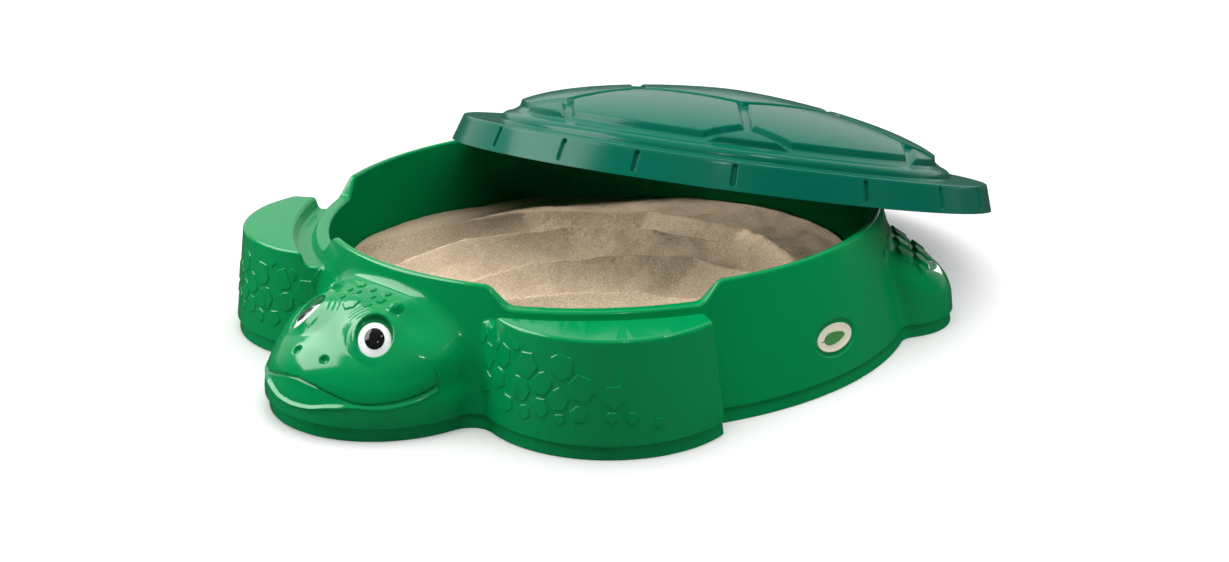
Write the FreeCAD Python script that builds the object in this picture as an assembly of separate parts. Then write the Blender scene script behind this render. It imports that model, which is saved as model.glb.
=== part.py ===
import FreeCAD, Part
import math
import os

# Turtle-shaped family sandbox with a loose domed cover, propped half open.
#
# Frame: +Z up, origin on the ground at the centre of the tub's plan ellipse.
# The head points to -Y, the tail to +Y, and the two front seats are at -Y.
# "left" is -X and "right" is +X. All lengths are millimetres, angles degrees.

# ---- driving dimensions: tub wall ----
RIM_X = 430.0            # semi-axes of the outer wall at the rim
RIM_Y = 458.0
RIM_HEIGHT = 194.0
WALL_DRAFT = 0.299       # outward run of the outer wall per mm going down
RIM_WIDTH = 10.0         # width of the rim's top
BASIN_DRAFT = 0.060      # inward run of the basin wall per mm going down
BASIN_FLOOR = 24.0       # height of the basin's floor
BASIN_CORNER = 16.0      # radius where the basin's wall meets its floor
SKIN = 2.4               # thickness of the hollow moulding's skin
PLINTH_HEIGHT = 20.0     # the lowest strip is set in a little
PLINTH_INSET = 5.0

# ---- front seats, one on each side of the head ----
SEAT_DIRECTION = -47.0   # plan angle of the right seat from +X
SEAT_REACH = 394.0       # from the tub's centre to the centre of the seat's lobe
SEAT_RADIUS_FOOT = 195.0
SEAT_RADIUS_TOP = 175.0
SEAT_HEIGHT = 167.0
SEAT_REAR_ANGLE = -30.0  # the flat rear end of the right seat lies in this radial plane
SEAT_EDGE = 7.0          # radius of the seat's top edge
CHANNEL_FLOOR = 147.0    # gutter between seat and low rim, where the cover's skirt drops in
CHANNEL_WIDTH = 24.0
NOTCH_HEIGHT = 165.0     # the rim is lowered to this height beside each seat
NOTCH_FRONT_ANGLE = -69.0
NOTCH_REAR_ANGLE = -26.0

# ---- head: height, distance of the front from the tub's centre, half width ----
HEAD_CENTRE_Y = -470.0
HEAD_SECTIONS = (
    (0.0, 645.0, 173.0),
    (45.0, 649.0, 174.0),
    (78.0, 641.0, 162.0),
    (106.0, 610.0, 142.0),
    (126.0, 582.0, 129.0),
    (148.0, 556.0, 112.0),
    (162.0, 534.0, 96.0),
    (169.0, 516.0, 76.0),
)
EYE_SIDE = 71.0          # centre of each eye
EYE_Y = -554.0
EYE_HEIGHT = 126.0
EYE_TURN = 47.5          # how far each eye looks out to its side
EYE_LIFT = 50.0          # how far it looks up
EYE_RADIUS = 23.1        # half the eye's width
EYE_STRETCH = 1.23       # the eyes are oval, this much taller than wide
EYE_DOME_SHARES = (1.0, 0.85, 0.6, 0.3, 0.03)   # where the dome's section is cut, from its edge in
EYE_DOME = 6.0           # height of the white's dome
EYE_EDGE = 2.0           # height of the white's straight edge
EYE_STEM_RADIUS = 6.0
EYE_STEM_LENGTH = 13.0
PUPIL_RADIUS = 13.5
PUPIL_DOME = 3.0
SOCKET_WALL = 6.0        # moulded ring around the eye
SOCKET_DEPTH = 3.0
SOCKET_GAP = 0.5
STEM_GAP = 0.3

# ---- rear feet and tail ----
FOOT_DIRECTION = 38.0
FOOT_REACH = 455.0
FOOT_SECTIONS = (        # height, length along the foot, half width, shift towards the wall
    (0.0, 107.0, 103.0, 0.0),
    (50.0, 102.0, 100.0, 2.0),
    (95.0, 74.0, 82.0, 16.0),
    (128.0, 40.0, 56.0, 34.0),
)
TAIL_Y = 505.0
TAIL_SECTIONS = (        # height, half length, half width
    (0.0, 53.0, 39.0),
    (40.0, 40.0, 28.0),
    (72.0, 16.0, 12.0),
)

# ---- oval badge in an oval recess of the right wall ----
BADGE_DIRECTION = -1.2
BADGE_HEIGHT = 75.0
BADGE_LENGTH = 80.0
BADGE_WIDTH = 40.0
BADGE_THICKNESS = 2.0
BADGE_MARGIN = 7.0       # width of the recess's floor around the badge
BADGE_RECESS = 4.0       # depth of the recess at its middle, below the curved wall

# ---- sand ----
SAND_GAP = 1.0           # the sand keeps this clear of the basin
SAND_EDGE_HEIGHT = 60.0
SAND_TOP_HEIGHT = 96.0

# ---- cover ----
COVER_X = 455.0          # semi-axes of the skirt's lower edge
COVER_Y = 480.0
COVER_SHEET = 2.5
SKIRT_HEIGHT = 43.0
FOLD_SCALE = 0.969       # the fold above the skirt, as a share of the lower edge
DOME_SCALE = 0.835       # the foot of the dome
DOME_HEIGHT = 99.5
DOME_POWER = 1.6         # how full the dome's section is
DOME_STEPS = 12
COVER_CENTRE = (2.0, 300.0, 168.0)   # centre of the skirt's lower edge, propped open
COVER_TURN = 14.0        # laid on with its front turned towards the right
COVER_PITCH = 14.7       # rear end down
COVER_ROLL = 2.75        # right side up


def vector(x, y, z=0.0):
    return FreeCAD.Vector(x, y, z)


def polar(radius, angle, z=0.0):
    turn = math.radians(angle)
    return vector(radius * math.cos(turn), radius * math.sin(turn), z)


def circle_wire(centre, radius):
    """A level circle made of four quarter arcs."""
    circle = Part.Circle(centre, vector(0, 0, 1), radius)
    quarter = math.pi / 2.0
    return Part.Wire([circle.toShape(turn * quarter, (turn + 1) * quarter) for turn in range(4)])


def ellipse_wire(half_x, half_y, z, centre=(0.0, 0.0), angle=0.0):
    """A closed ellipse at height z, made of four arcs that start at the local +X end."""
    circle = circle_wire(vector(0, 0), 1.0)
    scale = FreeCAD.Matrix()
    scale.A11 = half_x
    scale.A22 = half_y
    wire = circle.transformGeometry(scale)
    wire.rotate(vector(0, 0), vector(0, 0, 1), angle)
    wire.translate(vector(centre[0], centre[1], z))
    return wire


def loft(wires, ruled=True):
    return Part.makeLoft(wires, True, ruled)


def mirrored(shape):
    return shape.mirror(vector(0, 0), vector(1, 0, 0))


def wall_grow(z):
    """How far the outer wall stands outside the rim at height z."""
    return (RIM_HEIGHT - z) * WALL_DRAFT


def basin_shrink(z):
    """How far the basin's wall stands inside the outer rim line at height z."""
    return RIM_WIDTH + (RIM_HEIGHT - z) * BASIN_DRAFT


def frustum(low, high, inset):
    """The tub's outer body between two heights, its wall moved in by inset."""
    wires = []
    for z in (low, high):
        grow = wall_grow(z) - inset
        wires.append(ellipse_wire(RIM_X + grow, RIM_Y + grow, z))
    return loft(wires)


def level(z, top, inset, base):
    """The height z of a lofted section, squeezed to run from base to inset below top."""
    return base + z * (top - inset - base) / top


def tub_body(inset, base):
    return frustum(base, RIM_HEIGHT - inset, inset)


def channel_outside(inset):
    """Everything inside the gutter's outer side, above the gutter's floor."""
    wires = []
    for z, lean in ((CHANNEL_FLOOR - inset, 0.0), (RIM_HEIGHT + 20.0, 12.0)):
        grow = wall_grow(CHANNEL_FLOOR) + CHANNEL_WIDTH + lean + inset
        wires.append(ellipse_wire(RIM_X + grow, RIM_Y + grow, z))
    return loft(wires)


def half_space_behind(angle, shift):
    """A large block on the rear side of the radial plane at angle, moved forward by shift."""
    block = Part.makeBox(900.0, 600.0, 600.0, vector(-100.0, -shift, -200.0))
    block.rotate(vector(0, 0), vector(0, 0, 1), angle)
    return block


def seat(inset, base):
    """The right seat: a round lobe with a flat rear end and a gutter behind it."""
    centre = polar(SEAT_REACH, SEAT_DIRECTION)
    low = circle_wire(vector(centre.x, centre.y, base), SEAT_RADIUS_FOOT - inset)
    high = circle_wire(vector(centre.x, centre.y, SEAT_HEIGHT - inset), SEAT_RADIUS_TOP - inset)
    lobe = loft([low, high])
    lobe = lobe.cut(half_space_behind(SEAT_REAR_ANGLE, inset))
    top_edges = [edge for edge in lobe.Edges
                 if edge.BoundBox.ZMin > SEAT_HEIGHT - inset - 0.01]
    lobe = lobe.makeFillet(max(SEAT_EDGE - inset, 1.0), top_edges)
    return lobe.cut(channel_outside(inset))


def head(inset, base):
    """A broad low head: rounded cross-sections that narrow and step back going up."""
    wires = []
    for z, front, half_width in HEAD_SECTIONS:
        z = level(z, HEAD_SECTIONS[-1][0], inset, base)
        half_length = front + HEAD_CENTRE_Y - inset
        wires.append(ellipse_wire(half_width - inset, half_length, z, (0.0, HEAD_CENTRE_Y)))
    return loft(wires, ruled=False)


def rear_foot(inset, base):
    """The right rear foot: a rounded toe that leans up against the wall."""
    wires = []
    for z, half_length, half_width, shift in FOOT_SECTIONS:
        z = level(z, FOOT_SECTIONS[-1][0], inset, base)
        centre = polar(FOOT_REACH - shift, FOOT_DIRECTION)
        wires.append(ellipse_wire(half_length - inset, half_width - inset, z,
                                  (centre.x, centre.y), FOOT_DIRECTION))
    return loft(wires, ruled=False)


def tail(inset, base):
    wires = []
    for z, half_length, half_width in TAIL_SECTIONS:
        z = level(z, TAIL_SECTIONS[-1][0], inset, base)
        wires.append(ellipse_wire(half_width - inset, half_length - inset, z, (0.0, TAIL_Y)))
    return loft(wires, ruled=False)


def notch(inset):
    """The gap that lowers the rim beside the right seat, its ends sloping at 45 degrees."""
    depth = RIM_HEIGHT - NOTCH_HEIGHT
    rim_radius = (RIM_X + RIM_Y) / 2.0
    wires = []
    for z, narrow in ((NOTCH_HEIGHT - inset, depth), (RIM_HEIGHT + depth, -depth)):
        side = math.degrees((narrow - inset) / rim_radius)
        corners = []
        for radius, angle in ((300.0, NOTCH_FRONT_ANGLE + side), (700.0, NOTCH_FRONT_ANGLE + side),
                              (700.0, NOTCH_REAR_ANGLE - side), (300.0, NOTCH_REAR_ANGLE - side)):
            corners.append(polar(radius, angle, z))
        wires.append(Part.makePolygon(corners + corners[:1]))
    return loft(wires)


def eye_direction(side):
    """The way the eye on side -1 (left) or +1 (right) looks."""
    turn = math.radians(EYE_TURN)
    lift = math.radians(EYE_LIFT)
    return vector(side * math.sin(turn) * math.cos(lift),
                  -math.cos(turn) * math.cos(lift), math.sin(lift))


def eye_point(side, height):
    """A point on the eye's own axis, height above the socket's floor."""
    return vector(side * EYE_SIDE, EYE_Y, EYE_HEIGHT) + eye_direction(side) * (height - EYE_EDGE)


def eye_placement(side):
    """Puts a shape on the eye: local X across it, local Y up its height, local Z the way it looks."""
    turn = math.radians(EYE_TURN)
    lift = math.radians(EYE_LIFT)
    look = eye_direction(side)
    up = vector(-side * math.sin(turn) * math.sin(lift), math.cos(turn) * math.sin(lift),
                math.cos(lift))
    return FreeCAD.Placement(eye_point(side, 0.0), FreeCAD.Rotation(up.cross(look), up, look, "ZYX"))


def eye_stem(side, radius, low, high):
    """A round rod on the eye's axis."""
    return Part.makeCylinder(radius, high - low, eye_point(side, low), eye_direction(side))


def eye_oval(side, radius, low, high):
    """A straight oval prism on the eye's axis; radius is half its width."""
    prism = loft([ellipse_wire(radius, radius * EYE_STRETCH, z) for z in (low, high)])
    prism.Placement = eye_placement(side)
    return prism


def eye_dome(side, radius, low, rise):
    """An oval cap of the given rise that stands on the height low."""
    ball_radius = (radius ** 2 + rise ** 2) / (2.0 * rise)
    wires = []
    for share in EYE_DOME_SHARES:
        reach = radius * share
        height = low + rise - ball_radius + math.sqrt(ball_radius ** 2 - reach ** 2)
        wires.append(ellipse_wire(reach, reach * EYE_STRETCH, height))
    cap = loft(wires)
    cap.Placement = eye_placement(side)
    return cap


def outer_form(inset, base):
    """The whole moulding as one closed body: sides and tops moved in by inset, from base up."""
    right_seat = seat(inset, base)
    right_foot = rear_foot(inset, base)
    pieces = [right_seat, mirrored(right_seat), right_foot, mirrored(right_foot),
              head(inset, base), tail(inset, base)]
    for side in (-1, 1):
        pieces.append(eye_oval(side, EYE_RADIUS + SOCKET_WALL - inset, -60.0,
                                   SOCKET_DEPTH - inset))
    form = tub_body(inset, base).fuse(pieces)
    gap = notch(inset)
    return form.cut(gap).cut(mirrored(gap))


def basin(outset):
    """The open basin, its walls and floor moved out by outset."""
    wires = []
    floor = BASIN_FLOOR - outset
    for z in (floor, RIM_HEIGHT + 30.0):
        shrink = basin_shrink(z) - outset
        wires.append(ellipse_wire(RIM_X - shrink, RIM_Y - shrink, z))
    space = loft(wires)
    floor_edges = [edge for edge in space.Edges if edge.BoundBox.ZMax < floor + 0.01]
    return space.makeFillet(BASIN_CORNER + outset, floor_edges)


def slab(low, high):
    return Part.makeBox(1400.0, 1600.0, high - low, vector(-700.0, -800.0, low))


def stepped_form(skin):
    """The closed body with its plinth strip set in, every surface moved in by skin."""
    step = PLINTH_HEIGHT + skin
    upper = outer_form(skin, skin).common(slab(step, RIM_HEIGHT + 50.0))
    lower = outer_form(PLINTH_INSET + skin, skin).common(slab(skin, step))
    return upper.fuse(lower)


def badge_shape(margin, low, high):
    """An oval plate on the right wall: the badge's outline moved out by margin."""
    half_length = BADGE_LENGTH / 2.0 + margin
    half_width = BADGE_WIDTH / 2.0 + margin
    plate = loft([ellipse_wire(half_width, half_length, z) for z in (low, high)])
    plate.rotate(vector(0, 0), vector(0, 1, 0), 90.0 - math.degrees(math.atan(WALL_DRAFT)))
    plate.translate(vector(RIM_X + wall_grow(BADGE_HEIGHT), 0.0, BADGE_HEIGHT))
    plate.rotate(vector(0, 0), vector(0, 0, 1), BADGE_DIRECTION)
    return plate


def make_tub():
    """A hollow double-walled moulding: outer skin, basin skin and the air between them."""
    form = stepped_form(0.0)
    form = form.cut(basin(0.0))
    form = form.cut(badge_shape(BADGE_MARGIN, -BADGE_RECESS, 20.0))
    air = stepped_form(SKIN).cut(basin(SKIN))
    air = air.cut(badge_shape(BADGE_MARGIN + SKIN, -BADGE_RECESS - SKIN, 20.0))
    for side in (-1, 1):
        form = form.cut(eye_oval(side, EYE_RADIUS + SOCKET_GAP, 0.0, 60.0))
        air = air.cut(eye_oval(side, EYE_RADIUS + SOCKET_GAP + SKIN, -SKIN, 60.0))
    tub = form.cut(air)
    for side in (-1, 1):
        tub = tub.cut(eye_stem(side, EYE_STEM_RADIUS + STEM_GAP, -SKIN - 1.0, 1.0))
    return tub


def make_eye_white(side):
    """A domed white button with a stem that pushes into the head."""
    white = eye_oval(side, EYE_RADIUS, 0.0, EYE_EDGE)
    white = white.fuse(eye_dome(side, EYE_RADIUS, EYE_EDGE, EYE_DOME))
    white = white.fuse(eye_stem(side, EYE_STEM_RADIUS, -EYE_STEM_LENGTH, EYE_EDGE))
    seat_floor = EYE_EDGE + EYE_DOME - PUPIL_DOME
    white = white.cut(eye_oval(side, PUPIL_RADIUS + 0.1, seat_floor, 60.0))
    return white.removeSplitter()


def make_eye_pupil(side):
    """A black dome that sits in the white's round recess."""
    seat_floor = EYE_EDGE + EYE_DOME - PUPIL_DOME
    pupil = eye_oval(side, PUPIL_RADIUS, seat_floor, seat_floor + PUPIL_DOME)
    pupil = pupil.fuse(eye_dome(side, PUPIL_RADIUS, seat_floor + PUPIL_DOME, PUPIL_DOME))
    return pupil.removeSplitter()


def make_badge():
    return badge_shape(0.0, -BADGE_RECESS, BADGE_THICKNESS - BADGE_RECESS)


def make_sand():
    """Sand in the basin: flat at the wall and heaped up in the middle."""
    floor = BASIN_FLOOR + SAND_GAP
    wires = []
    for z in (floor + BASIN_CORNER, SAND_EDGE_HEIGHT):
        shrink = basin_shrink(z) + SAND_GAP
        wires.append(ellipse_wire(RIM_X - shrink, RIM_Y - shrink, z))
    body = loft(wires)
    shrink = basin_shrink(floor + BASIN_CORNER) + SAND_GAP
    low_wires = [ellipse_wire(RIM_X - shrink - BASIN_CORNER, RIM_Y - shrink - BASIN_CORNER, floor),
                 ellipse_wire(RIM_X - shrink, RIM_Y - shrink, floor + BASIN_CORNER)]
    heap_wires = []
    rise = SAND_TOP_HEIGHT - SAND_EDGE_HEIGHT
    for share in (0.0, 0.35, 0.7, 1.0):
        z = SAND_EDGE_HEIGHT + rise * share
        spread = math.cos(share * math.pi / 2.6)
        shrink = basin_shrink(SAND_EDGE_HEIGHT) + SAND_GAP
        heap_wires.append(ellipse_wire((RIM_X - shrink) * spread, (RIM_Y - shrink) * spread, z))
    return body.fuse([loft(low_wires), loft(heap_wires)]).removeSplitter()


def dome_height(share):
    """Height of the dome above the fold at a share of the way from centre to foot."""
    return DOME_HEIGHT * math.sqrt(max(0.0, 1.0 - share ** DOME_POWER))


def cover_profile(sheet):
    """Section of the cover from its axis to the skirt's edge, moved in by sheet."""
    fold = COVER_Y * FOLD_SCALE - sheet
    foot = COVER_Y * DOME_SCALE - sheet
    level = SKIRT_HEIGHT - sheet
    points = []
    for step in range(DOME_STEPS + 1):
        share = math.sin(step / DOME_STEPS * math.pi / 2.0)
        points.append(vector(0.0, foot * share, level + dome_height(share)))
    return points, vector(0.0, fold, level), vector(0.0, COVER_Y - sheet, 0.0)


def make_cover():
    """A thin domed lid with a flat flange and a sloping skirt, propped on the rim."""
    outer, outer_fold, outer_edge = cover_profile(0.0)
    inner, inner_fold, inner_edge = cover_profile(COVER_SHEET)
    outer_curve = Part.BSplineCurve()
    outer_curve.interpolate(outer)
    inner_curve = Part.BSplineCurve()
    inner_curve.interpolate(inner)
    edges = [outer_curve.toShape()]
    edges += Part.makePolygon([outer[-1], outer_fold, outer_edge,
                               inner_edge, inner_fold, inner[-1]]).Edges
    edges.append(inner_curve.toShape())
    edges.append(Part.makeLine(inner[0], outer[0]))
    face = Part.Face(Part.Wire(Part.__sortEdges__(edges)))
    cover = face.revolve(vector(0, 0), vector(0, 0, 1), 360.0)
    narrow = FreeCAD.Matrix()
    narrow.A11 = COVER_X / COVER_Y
    cover = cover.transformGeometry(narrow)
    cover.rotate(vector(0, 0), vector(0, 0, 1), COVER_TURN)
    cover.rotate(vector(0, 0), vector(1, 0, 0), -COVER_PITCH)
    cover.rotate(vector(0, 0), vector(0, 1, 0), -COVER_ROLL)
    cover.translate(vector(*COVER_CENTRE))
    return cover


def main():
    nodes = {"tub": make_tub(), "cover": make_cover(), "sand_fill": make_sand(),
             "badge": make_badge()}
    for name, side in (("left", -1), ("right", 1)):
        nodes["eye_white_" + name] = make_eye_white(side)
        nodes["eye_pupil_" + name] = make_eye_pupil(side)
    os.makedirs("parts", exist_ok=True)
    for name, shape in nodes.items():
        shape.exportStep("parts/" + name + ".step")


main()
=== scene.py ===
"""Looks for the covered turtle sandbox: tub, shell cover, sand, eyes and badge.

The tub is described by a field, a function that is negative inside the plastic and positive
outside. The field is turned into a mesh, whose points are then settled exactly on the surface
and made denser where it bends. All lengths are metres, in the frame of the CAD model: +Z up,
head towards -Y, right-hand side +X.
"""
from math import atan, cos, hypot, pi, radians, sin, sqrt

import bpy
import numpy as np
import openvdb
from mathutils import Matrix, Vector


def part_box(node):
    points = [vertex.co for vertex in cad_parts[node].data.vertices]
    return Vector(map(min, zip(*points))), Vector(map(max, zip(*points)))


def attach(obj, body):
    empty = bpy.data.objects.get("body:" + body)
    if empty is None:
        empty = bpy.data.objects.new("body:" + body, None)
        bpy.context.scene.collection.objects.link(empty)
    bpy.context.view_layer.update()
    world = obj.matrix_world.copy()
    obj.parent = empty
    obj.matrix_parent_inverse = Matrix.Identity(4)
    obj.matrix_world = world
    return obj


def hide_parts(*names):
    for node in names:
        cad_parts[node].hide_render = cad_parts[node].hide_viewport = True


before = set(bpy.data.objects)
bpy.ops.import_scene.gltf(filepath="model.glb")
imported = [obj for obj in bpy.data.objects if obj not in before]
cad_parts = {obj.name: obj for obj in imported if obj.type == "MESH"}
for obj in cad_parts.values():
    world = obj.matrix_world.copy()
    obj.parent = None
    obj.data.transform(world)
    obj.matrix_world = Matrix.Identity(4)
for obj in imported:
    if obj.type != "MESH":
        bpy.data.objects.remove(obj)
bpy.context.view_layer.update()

TUB, COVER = "tub_body", "cover_body"

# ---- tub wall: the same driving sizes as the CAD model ----
RIM_X, RIM_Y = 0.430, 0.458
RIM_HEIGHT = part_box("tub")[1].z
WALL_DRAFT = 0.299
RIM_WIDTH = 0.010
RIM_ROUND = 0.0042
BASIN_DRAFT = 0.060
BASIN_FLOOR = 0.024
BASIN_CORNER = 0.016
PLINTH_HEIGHT = 0.020
PLINTH_INSET = 0.005
PLINTH_STEP = 0.0022

# ---- front seats and the notches in the rim beside them ----
SEAT_DIRECTION = radians(-47.0)
SEAT_REACH = 0.394
SEAT_RADIUS_FOOT, SEAT_RADIUS_TOP = 0.195, 0.175
SEAT_HEIGHT = 0.167
SEAT_REAR_ANGLE = radians(-30.0)
SEAT_EDGE = 0.0055               # a little sharper than the CAD solid's
SEAT_CORNER = 0.007
SEAT_SCALE_HEIGHT = 0.0014
GUTTER_FLOOR, GUTTER_WIDTH = 0.147, 0.024
GUTTER_EDGE, GUTTER_SLOPE = 0.005, 0.25
NOTCH_HEIGHT = 0.165
NOTCH_FRONT, NOTCH_REAR = radians(-69.0), radians(-26.0)
NOTCH_ROUND = 0.008

# ---- head: ellipsoids are (centre, half axes), all on the right-hand side ----
HEAD_CENTRE_Y = -0.470
HEAD_FRONT, HEAD_HALF_WIDTH = 0.649, 0.174
# height of the head's top along its middle, from the lip back to the neck
HEAD_TOP = [(-0.655, 0.080), (-0.632, 0.095), (-0.606, 0.110), (-0.580, 0.125), (-0.553, 0.146),
            (-0.530, 0.160), (-0.505, 0.166), (-0.450, 0.167)]
HEAD_CROWN = [(-0.60, 2.6), (-0.53, 2.4), (-0.48, 0.9)]    # how fast it falls off sideways, per metre
# how far the sides lean in, by height
HEAD_LEAN = [(0.030, 0.0), (0.050, 0.003), (0.065, 0.009), (0.080, 0.012), (0.100, 0.017), (0.120, 0.028),
             (0.150, 0.052), (0.180, 0.078)]
HEAD_SLOPE = 1.1                 # length of the leaning side against its height
HEAD_EDGE = 0.022
NECK_HOLLOW = (0.140, -0.500, 0.182), (0.056, 0.040, 0.050)
BROW_RADIUS, BROW_BACK, BROW_UP = 0.046, 0.031, 0.013
BROW_KNOB = (0.063, -0.506, 0.157), (0.009, 0.012, 0.011)
RING_RADIUS, RING_RISE = 0.0285, 0.0030
SOCKET_RADIUS, SOCKET_UP = 0.0262, 0.0055
NOSTRIL = (0.0291, -0.6113, 0.1050), (0.0080, 0.0066, 0.0080)
FOLDS = (0.0475, 0.0545, 0.0615)  # brow folds, by distance from the eye
# mouth line, lower lip and corner crease, by degrees around the head from its front
MOUTH = [(0, 0.076), (10, 0.0725), (19, 0.0665), (32, 0.0565), (46, 0.0555), (60, 0.0605),
         (73, 0.0705)]
LIP = [(0, 0.0405), (10, 0.0425), (20, 0.0485), (31, 0.0515), (46, 0.0495), (60, 0.0545),
       (73, 0.0645)]
MOUTH_CORNER = 73.0
# raised scales on the forehead: place from the middle, place along the head, size, corners, turn
FOREHEAD_SCALES = [(0.000, -0.532, 0.0140, 6, 0), (0.027, -0.527, 0.0075, 5, 20),
                   (0.015, -0.509, 0.0085, 5, 70), (0.034, -0.508, 0.0085, 5, 10),
                   (0.000, -0.493, 0.0080, 6, 30), (0.027, -0.490, 0.0085, 5, 50)]

# ---- raised scales on the seat's outer face: degrees around the lobe, height, size, corners, turn ----
SEAT_SCALES = [(-101, 0.121, 0.019, 6, 10), (-93, 0.143, 0.010, 5, 0), (-86, 0.120, 0.021, 6, 35),
               (-69, 0.128, 0.021, 6, 0), (-89, 0.085, 0.020, 6, 30), (-78, 0.099, 0.019, 6, 50),
               (-70, 0.081, 0.019, 5, 50), (-60, 0.100, 0.021, 6, 15), (-46, 0.090, 0.019, 5, 20),
               (-78, 0.067, 0.016, 6, 20), (-69, 0.056, 0.010, 5, 90), (-61, 0.064, 0.014, 5, 60),
               (-47, 0.062, 0.010, 6, 0), (-38.5, 0.060, 0.010, 6, 30), (-27, 0.050, 0.009, 5, 90),
               (-103, 0.088, 0.017, 6, 0), (-96, 0.058, 0.014, 5, 10), (-86, 0.055, 0.012, 6, 0),
               (-114, 0.107, 0.021, 6, 30), (-114, 0.070, 0.019, 5, 0), (-106, 0.130, 0.011, 6, 0),
               (-127, 0.092, 0.022, 6, 10), (-123, 0.132, 0.018, 5, 40), (-125, 0.055, 0.015, 6, 30),
               (-139, 0.115, 0.021, 6, 0), (-140, 0.075, 0.020, 5, 20),
               (-153, 0.095, 0.021, 6, 20), (-152, 0.133, 0.017, 5, 0), (-152, 0.058, 0.015, 6, 0)]

# ---- rear feet and tail ----
FOOT_DIRECTION = radians(38.0)
FOOT_REACH = 0.455
FOOT_HALF_LENGTH, FOOT_HALF_WIDTH = 0.109, 0.104
FOOT_TOP = 0.143                 # height of the sloping top over the foot's middle
FOOT_SLOPE = 0.68
FOOT_EDGE = 0.020
FOOT_SCALE_HEIGHT = 0.0055
# raised scales on the foot's top: place across, place along from the foot's middle, size, corners, turn
FOOT_SCALES = [(-0.052, 0.022, 0.015, 6, 0), (-0.018, 0.020, 0.016, 5, 20), (0.018, 0.022, 0.016, 6, 10),
               (0.052, 0.020, 0.015, 5, 40), (-0.035, 0.050, 0.014, 6, 30), (0.000, 0.054, 0.017, 6, 0),
               (0.036, 0.050, 0.014, 5, 10), (-0.062, 0.048, 0.009, 5, 0), (0.062, 0.048, 0.009, 5, 60)]
TAIL_Y, TAIL_REACH = 0.497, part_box("tub")[1].y
TAIL_HALF_WIDTH, TAIL_HEIGHT = 0.038, 0.080

# ---- fillets between the wall and the bodies that grow out of it ----
SEAT_BLEND, HEAD_BLEND, FOOT_BLEND, TAIL_BLEND = 0.005, 0.012, 0.010, 0.008

# ---- oval badge in its recess on the right wall ----
BADGE_TURN = radians(-1.2)
BADGE_HEIGHT = 0.075
BADGE_HALF_LENGTH, BADGE_HALF_WIDTH = 0.040, 0.020
BADGE_MARGIN = 0.007
BADGE_RECESS = 0.004
BADGE_THICKNESS = 0.002

# ---- cover ----
COVER_X, COVER_Y = 0.455, 0.480
COVER_TURN, COVER_PITCH, COVER_ROLL = (radians(a) for a in (14.0, 14.7, 2.75))
COVER_CENTRE = Vector((0.002, 0.300, 0.168))
COVER_SHEET = 0.0025
SKIRT_HEIGHT = 0.043
FOLD_SCALE, DOME_SCALE = 0.969, 0.835
DOME_HEIGHT, DOME_POWER = 0.0995, 1.6


# ======== field tools
def join(a, b, radius):
    """Both bodies together, with a fillet of the given radius in the inner corner."""
    corner = np.hypot(np.maximum(radius - a, 0.0), np.maximum(radius - b, 0.0))
    return np.maximum(radius, np.minimum(a, b)) - corner


def meet(a, b, radius):
    """What lies inside both bodies, with the outer corner rounded to the given radius."""
    corner = np.hypot(np.maximum(radius + a, 0.0), np.maximum(radius + b, 0.0))
    return np.minimum(-radius, np.maximum(a, b)) + corner


def ellipse_distance(x, y, half_x, half_y):
    """Roughly how far a plan point lies outside an ellipse."""
    ratio = np.sqrt((x / half_x) ** 2 + (y / half_y) ** 2)
    slope = np.sqrt((x / half_x ** 2) ** 2 + (y / half_y ** 2) ** 2)
    return (ratio - 1.0) * ratio / np.maximum(slope, 1e-6)


def ellipsoid(p, centre, half):
    """Roughly how far a point lies outside an ellipsoid with level axes."""
    scaled = (p - np.array(centre)) / np.array(half)
    ratio = np.sqrt((scaled ** 2).sum(1))
    slope = np.sqrt(((scaled / np.array(half)) ** 2).sum(1))
    return (ratio - 1.0) * ratio / np.maximum(slope, 1e-6)


def smooth_step(value, low, high):
    t = np.clip((value - low) / (high - low), 0.0, 1.0)
    return t * t * (3.0 - 2.0 * t)


def soft_ramp(value, radius):
    """0 below zero and value above it, with a rounded bend between."""
    inner = np.clip(value + radius, 0.0, 2.0 * radius) ** 2 / (4.0 * radius)
    return np.where(value > radius, value, inner)


def curve(place, knots):
    """A smooth curve through (place, value) knots that stays level beyond its ends."""
    at, value = np.array(knots).T
    slope = np.gradient(value, at)
    place = np.clip(place, at[0], at[-1])
    k = np.clip(np.searchsorted(at, place) - 1, 0, len(at) - 2)
    width = at[k + 1] - at[k]
    s = (place - at[k]) / width
    rise = value[k] + (value[k + 1] - value[k]) * s * s * (3.0 - 2.0 * s)
    return rise + width * s * (1.0 - s) * (slope[k] * (1.0 - s) - slope[k + 1] * s)


def hump(value, half_width):
    """A smooth ridge profile: 1 at zero, fading out over about twice the half width."""
    return np.exp(-(value / half_width) ** 2)


def raised_plates(u, v, scales, gap=0.004, bevel=0.0016):
    """1 on many-sided plates and 0 between them; neighbours share a straight groove."""
    best = np.full(len(u), -1.0)
    for cu, cv, size, corners, turn in scales:
        a, b = u - cu, v - cv
        inside = np.full(len(u), 1.0)
        for side in range(corners):
            angle = radians(turn) + 2.0 * pi * side / corners
            inside = np.minimum(inside, size * cos(pi / corners)
                                - a * cos(angle) - b * sin(angle))
        for ou, ov, other_size, _, _ in scales:
            apart = hypot(ou - cu, ov - cv)
            if 0.0 < apart < 2.5 * (size + other_size):
                along = (a * (ou - cu) + b * (ov - cv)) / apart
                inside = np.minimum(inside, (apart + size - other_size - gap) / 2.0 - along)
        best = np.maximum(best, inside)
    return smooth_step(best, 0.0, bevel)


def segment_distance(p, a, b):
    """Distance from points to the straight line between a and b, in any number of axes."""
    a, b = np.array(a), np.array(b)
    along = b - a
    share = np.clip(((p - a) @ along) / (along @ along), 0.0, 1.0)
    return np.sqrt((((p - a) - share[:, None] * along) ** 2).sum(1))


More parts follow.
